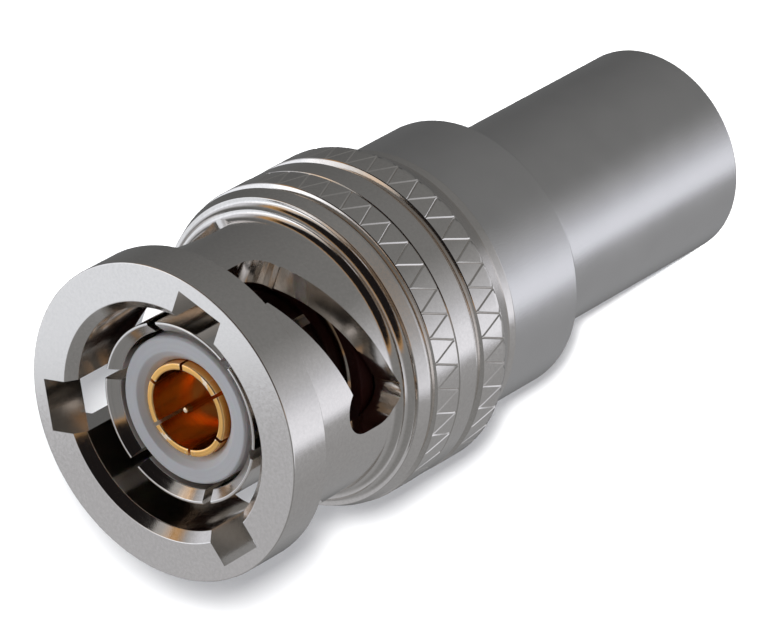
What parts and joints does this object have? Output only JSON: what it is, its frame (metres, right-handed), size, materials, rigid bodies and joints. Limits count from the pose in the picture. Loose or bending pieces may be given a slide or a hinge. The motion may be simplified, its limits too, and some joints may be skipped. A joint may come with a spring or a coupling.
{
  "type": "triaxial bayonet cable plug",
  "caption": "Crimp-type triaxial cable plug: slotted bayonet coupling nut with knurled grips, concentric contacts in PTFE, rear housing and plain crimp sleeve.",
  "frame": {"origin": "centre of the crimp sleeve's rear end, on which the plug stands", "axes": "+Z along the plug's axis, from the cable end to the mating face; a bayonet channel is centred on +Y"},
  "size_m": [0.0148, 0.0148, 0.0344],
  "materials": {
    "coupling_nickel": "bright nickel plating",
    "bright_nickel": "bright nickel plating",
    "contact_nickel": "bright nickel plating",
    "satin_nickel": "satin nickel plating",
    "spring_steel": "plain spring steel",
    "gold_plate": "gold plating",
    "white_ptfe": "machined PTFE",
    "red_silicone": "moulded silicone"
  },
  "bodies": {
    "plug": {"plug_body": "bright_nickel", "mating_gasket": "red_silicone", "outer_contact": "contact_nickel", "outer_insulator": "white_ptfe", "insulator_retainer": "bright_nickel", "intermediate_contact": "gold_plate", "inner_insulator": "white_ptfe", "centre_contact": "gold_plate", "inner_rear_insulator": "white_ptfe", "outer_rear_insulator": "white_ptfe", "intermediate_ferrule": "gold_plate", "crimp_stem": "bright_nickel", "rear_housing": "satin_nickel", "spring_seat_washer": "spring_steel", "wave_washer_1": "spring_steel", "wave_washer_2": "spring_steel"},
    "carrier": {"thrust_washer": "spring_steel"},
    "nut": {"coupling_nut": "coupling_nickel", "retaining_ring": "spring_steel"},
    "sleeve": {"crimp_sleeve": "satin_nickel"}
  },
  "joints": [
    {"name": "nut_slide", "type": "slide", "parent": "plug", "child": "carrier", "axis": [0, 0, 1], "range_m": [0, 0.0008], "stiffness_N_per_m": 8000, "springref_m": -0.0004, "deforming": ["wave_washer_1", "wave_washer_2"]},
    {"name": "nut_turn", "type": "hinge", "parent": "carrier", "child": "nut", "pos_m": [0, 0, 0.0265], "axis": [0, 0, 1], "continuous": true},
    {"name": "sleeve_slide", "type": "slide", "parent": "plug", "child": "sleeve", "axis": [0, 0, -1], "range_m": [0, 0.012]}
  ]
}
